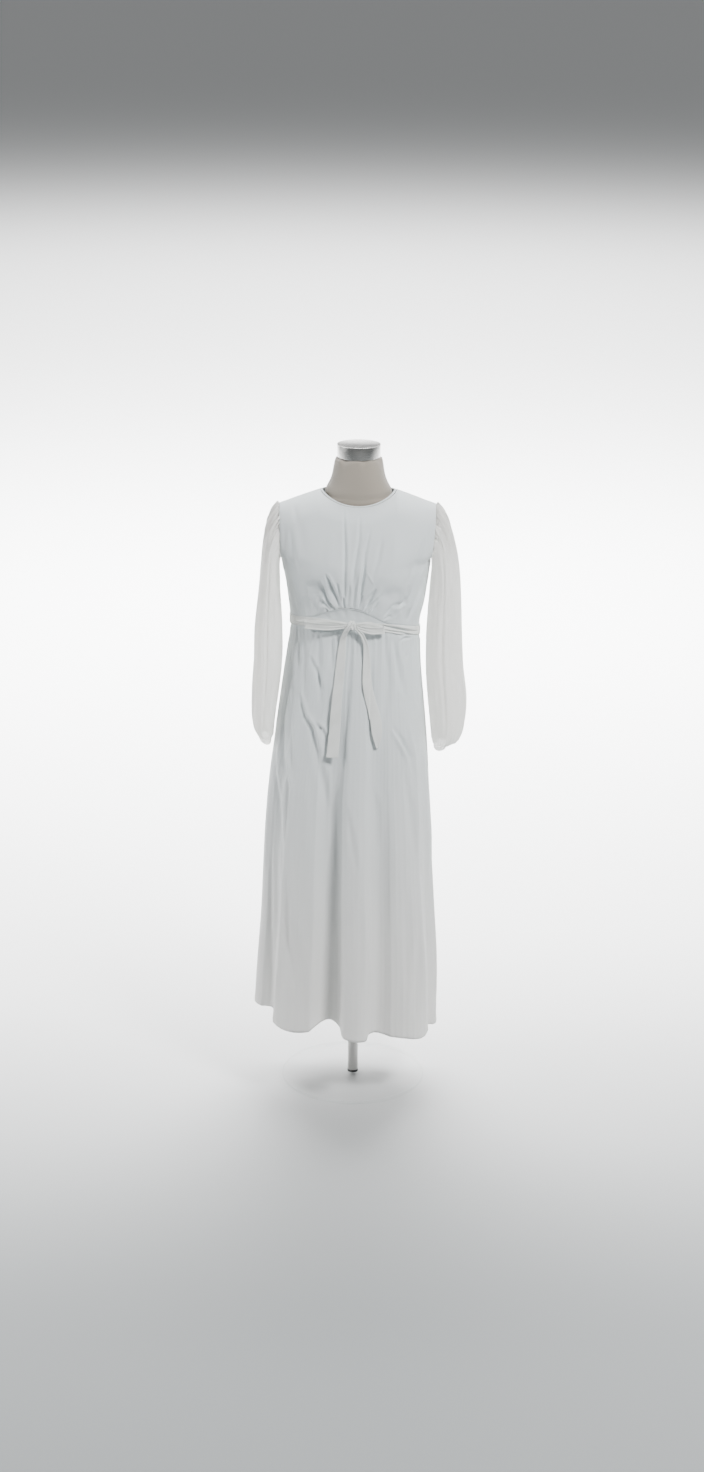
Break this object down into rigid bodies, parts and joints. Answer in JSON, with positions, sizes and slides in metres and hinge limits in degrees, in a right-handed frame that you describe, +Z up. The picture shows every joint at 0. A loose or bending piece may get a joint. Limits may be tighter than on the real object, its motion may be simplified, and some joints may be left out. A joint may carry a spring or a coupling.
{
  "type": "midi dress on a dress form",
  "caption": "White cotton midi dress with a gathered bodice, full sleeves and a tied belt, worn by a limbless dress form on a pole and a round clear base.",
  "frame": {"origin": "centre of the base plate's underside, on the floor", "axes": "+Z up, the front of the dress faces -Y, the wearer's right is at -X"},
  "size_m": [0.5106, 0.4304, 1.5933],
  "materials": {
    "white_cotton": "plain weave, matt, lightly creased",
    "sleeve_cotton": "single layer, half sheer, matt",
    "form_linen": "plain weave, matt",
    "brushed_steel": "brushed",
    "dark_rubber": "matt",
    "clear_glass": "polished"
  },
  "bodies": {
    "root": {"bodice_front": "white_cotton", "bodice_back_left": "white_cotton", "bodice_back_right": "white_cotton", "neck_binding": "white_cotton", "waist_panel_front": "white_cotton", "waist_band_back": "white_cotton", "skirt_front": "white_cotton", "skirt_back": "white_cotton", "sleeve_left": "sleeve_cotton", "sleeve_right": "sleeve_cotton", "cuff_left": "sleeve_cotton", "cuff_right": "sleeve_cotton", "belt": "white_cotton", "bow_knot": "white_cotton", "bow_loop_left": "white_cotton", "bow_loop_right": "white_cotton", "belt_tail_left": "white_cotton", "belt_tail_right": "white_cotton", "form_torso": "form_linen", "form_neck_cap": "brushed_steel", "form_pole": "brushed_steel", "form_pole_foot": "dark_rubber", "form_base": "clear_glass"}
  },
  "joints": []
}
